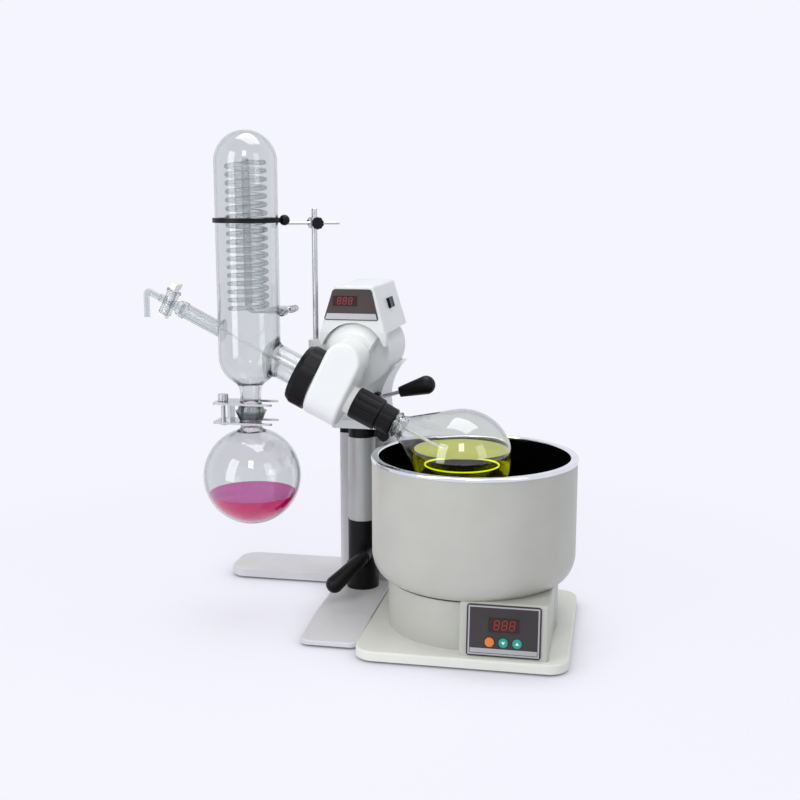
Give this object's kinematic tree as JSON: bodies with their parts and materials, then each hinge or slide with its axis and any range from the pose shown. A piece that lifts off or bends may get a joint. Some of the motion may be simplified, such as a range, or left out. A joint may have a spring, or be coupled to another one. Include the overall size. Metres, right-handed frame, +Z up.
{
  "type": "rotary evaporator",
  "caption": "Bench rotary evaporator: tilting motor head on a lifting column, coil condenser, receiver, rotating pear flask and a round heating bath beside the stand.",
  "frame": {"origin": "centre of the footprint's box, on the bench", "axes": "+Z up, the panels and levers look along -Y, the bath stands at +X and the condenser at -X"},
  "size_m": [0.584, 0.358, 0.653],
  "materials": {
    "stand_enamel": "smooth semi-gloss powder coat",
    "column_enamel": "smooth grey powder coat",
    "black_plastic": "moulded, fine satin",
    "head_enamel": "smooth off-white paint",
    "bath_enamel": "smooth warm grey paint",
    "pot_coating": "glossy non-stick coating",
    "clear_glass": "clear borosilicate",
    "steel": "ground",
    "chrome": "polished",
    "bronze": "machined",
    "cast_alloy": "die cast",
    "ptfe": "waxy white",
    "rubber": "matt",
    "panel_film": "printed film",
    "display_window": "dark red window",
    "orange_key": "moulded",
    "teal_key": "moulded",
    "yellow_solution": "clear yellow liquid",
    "magenta_distillate": "clear magenta liquid"
  },
  "bodies": {
    "stand": {"stand_base": "stand_enamel", "rubber_feet": "rubber", "column_socket": "black_plastic", "column_tube": "column_enamel", "column_cap": "black_plastic", "rear_pillar": "column_enamel", "rear_pillar_cap": "black_plastic", "bath_base": "bath_enamel", "bath_pedestal": "bath_enamel", "bath_shell": "bath_enamel", "bath_pot": "pot_coating", "bath_rim": "chrome", "bath_heater": "steel", "bath_panel": "panel_film", "bath_display": "display_window", "bath_inlet": "black_plastic"},
    "lift_lever": {"lift_lock_lever": "black_plastic"},
    "lift_knob": {"lift_lock_knob": "black_plastic"},
    "set_key": {"set_button": "orange_key"},
    "down_key": {"down_button": "teal_key"},
    "up_key": {"up_button": "teal_key"},
    "head": {"lift_shaft": "chrome", "guide_rod": "chrome", "head_bracket": "head_enamel", "motor_casing": "head_enamel", "drive_motor": "cast_alloy", "head_cover": "head_enamel", "head_panel": "panel_film", "head_display": "display_window"},
    "tilt_lever": {"tilt_lock_lever": "black_plastic"},
    "rocker": {"rocker_switch": "black_plastic"},
    "arm": {"arm_housing": "head_enamel", "arm_cover": "head_enamel", "duct_bearings": "steel", "duct_seal": "ptfe", "condenser_body": "clear_glass", "condenser_coils": "clear_glass", "feed_tube": "ptfe", "feed_stopcock": "clear_glass", "support_rod": "steel", "clamp_ring": "black_plastic", "clamp_bar": "steel", "boss_head": "cast_alloy", "joint_clamp": "steel", "evaporating_liquid": "yellow_solution"},
    "union": {"condenser_nut": "black_plastic"},
    "stopcock": {"stopcock_key": "ptfe"},
    "bar_clamp": {"bar_screw": "black_plastic"},
    "rod_clamp": {"rod_screw": "black_plastic"},
    "fork_clamp": {"clamp_screw": "steel"},
    "receiver": {"receiving_flask": "clear_glass", "receiver_socket": "clear_glass", "receiving_liquid": "magenta_distillate"},
    "rotor": {"duct_sleeve": "steel", "vapour_duct": "clear_glass", "worm_wheel": "bronze", "seal_ring": "ptfe", "flask_nut": "black_plastic", "evaporating_flask": "clear_glass"},
    "worm": {"worm_shaft": "steel"}
  },
  "joints": [
    {"name": "head_lift", "type": "slide", "parent": "stand", "child": "head", "axis": [0, 0, 1], "range_m": [0, 0.11]},
    {"name": "lift_lever_turn", "type": "hinge", "parent": "stand", "child": "lift_lever", "pos_m": [-0.004, 0.0307, 0.07], "axis": [0, -1, 0], "range_deg": [-60, 15]},
    {"name": "lift_knob_turn", "type": "hinge", "parent": "stand", "child": "lift_knob", "pos_m": [0.02, 0.054, 0.2405], "axis": [0, -1, 0], "range_deg": [0, 180]},
    {"name": "arm_tilt", "type": "hinge", "parent": "head", "child": "arm", "pos_m": [-0.008, -0.041, 0.3605], "axis": [0, -1, 0], "range_deg": [-4, 15]},
    {"name": "tilt_lever_turn", "type": "hinge", "parent": "head", "child": "tilt_lever", "pos_m": [0.012, 0.046, 0.294], "axis": [0, -1, 0], "range_deg": [-25, 12]},
    {"name": "rocker_flip", "type": "hinge", "parent": "head", "child": "rocker", "pos_m": [0.02564, 0.059, 0.42465], "axis": [-0.2788, 0, 0.9603], "range_deg": [-8, 0]},
    {"name": "flask_spin", "type": "hinge", "parent": "arm", "child": "rotor", "pos_m": [-0.02964, -0.041, 0.3171], "axis": [0.8949, 0, -0.4462], "continuous": true},
    {"name": "worm_spin", "type": "hinge", "parent": "arm", "child": "worm", "pos_m": [-0.008, -0.041, 0.3605], "axis": [0, 1, 0], "continuous": true},
    {"name": "union_turn", "type": "hinge", "parent": "arm", "child": "union", "pos_m": [-0.02964, -0.041, 0.3171], "axis": [0.8949, 0, -0.4462], "range_deg": [-45, 45]},
    {"name": "stopcock_turn", "type": "hinge", "parent": "arm", "child": "stopcock", "pos_m": [-0.25427, -0.041, 0.42909], "axis": [0.4462, 0, 0.8949], "range_deg": [0, 180]},
    {"name": "bar_screw_turn", "type": "hinge", "parent": "arm", "child": "bar_clamp", "pos_m": [-0.05928, -0.00695, 0.534], "axis": [0.3746, -0.9272, 0], "range_deg": [0, 180]},
    {"name": "rod_screw_turn", "type": "hinge", "parent": "arm", "child": "rod_clamp", "pos_m": [-0.05928, -0.00695, 0.534], "axis": [-0.3746, 0.9272, 0], "range_deg": [0, 180]},
    {"name": "fork_screw_turn", "type": "hinge", "parent": "arm", "child": "fork_clamp", "pos_m": [-0.18257, -0.041, 0.286], "axis": [0, 0, 1], "range_deg": [0, 180]},
    {"name": "receiver_swivel", "type": "hinge", "parent": "arm", "child": "receiver", "pos_m": [-0.14357, -0.041, 0.286], "axis": [0, 0, 1], "continuous": true},
    {"name": "set_press", "type": "slide", "parent": "stand", "child": "set_key", "axis": [0, 0.9911, -0.1331], "range_m": [0, 0.001], "stiffness_N_per_m": 600, "springref_m": -0.0005},
    {"name": "down_press", "type": "slide", "parent": "stand", "child": "down_key", "axis": [0, 0.9911, -0.1331], "range_m": [0, 0.001], "stiffness_N_per_m": 600, "springref_m": -0.0005},
    {"name": "up_press", "type": "slide", "parent": "stand", "child": "up_key", "axis": [0, 0.9911, -0.1331], "range_m": [0, 0.001], "stiffness_N_per_m": 600, "springref_m": -0.0005}
  ],
  "couplings": [
    {"joint": "worm_spin", "follows": "flask_spin", "ratio": 36}
  ]
}
